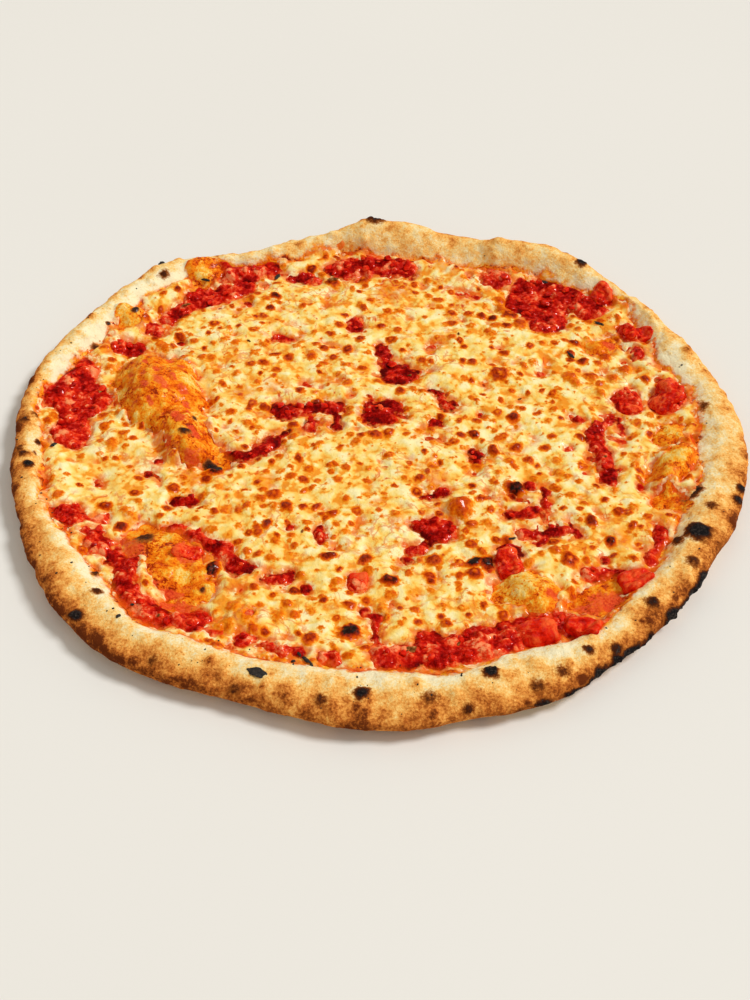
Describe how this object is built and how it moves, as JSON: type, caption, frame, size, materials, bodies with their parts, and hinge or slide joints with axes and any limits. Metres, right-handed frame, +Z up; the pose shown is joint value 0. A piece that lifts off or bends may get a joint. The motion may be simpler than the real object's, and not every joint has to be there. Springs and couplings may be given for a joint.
{
  "type": "margherita pizza",
  "caption": "Round hand-stretched pizza, whole and uncut, with a raised blistered rim, tomato sauce, a melted browned mozzarella sheet and loose tomato chunks.",
  "frame": {"origin": "middle of the box of the flat underside, on the surface that the pizza lies on", "axes": "+Z up, through the thickness; +X and +Y in the plane of the pizza, with the tallest bulge of the rim towards +Y"},
  "size_m": [0.3228, 0.3169, 0.0194],
  "materials": {
    "crust": "stands in for baked bread dough: floury cream to tan, browned and charred in spots, matt",
    "sauce": "stands in for baked tomato sauce: deep red, wet and grainy",
    "cheese": "stands in for melted mozzarella: cream to yellow with browned blisters and an oily sheen",
    "tomato": "stands in for cooked tomato flesh: bright red, wet"
  },
  "bodies": {
    "root": {"crust": "crust", "tomato_sauce": "sauce", "mozzarella": "cheese", "tomato_chunk_01": "tomato", "tomato_chunk_02": "tomato", "tomato_chunk_03": "tomato", "tomato_chunk_04": "tomato", "tomato_chunk_05": "tomato", "tomato_chunk_06": "tomato", "tomato_chunk_07": "tomato", "tomato_chunk_08": "tomato", "tomato_chunk_09": "tomato", "tomato_chunk_10": "tomato"}
  },
  "joints": []
}
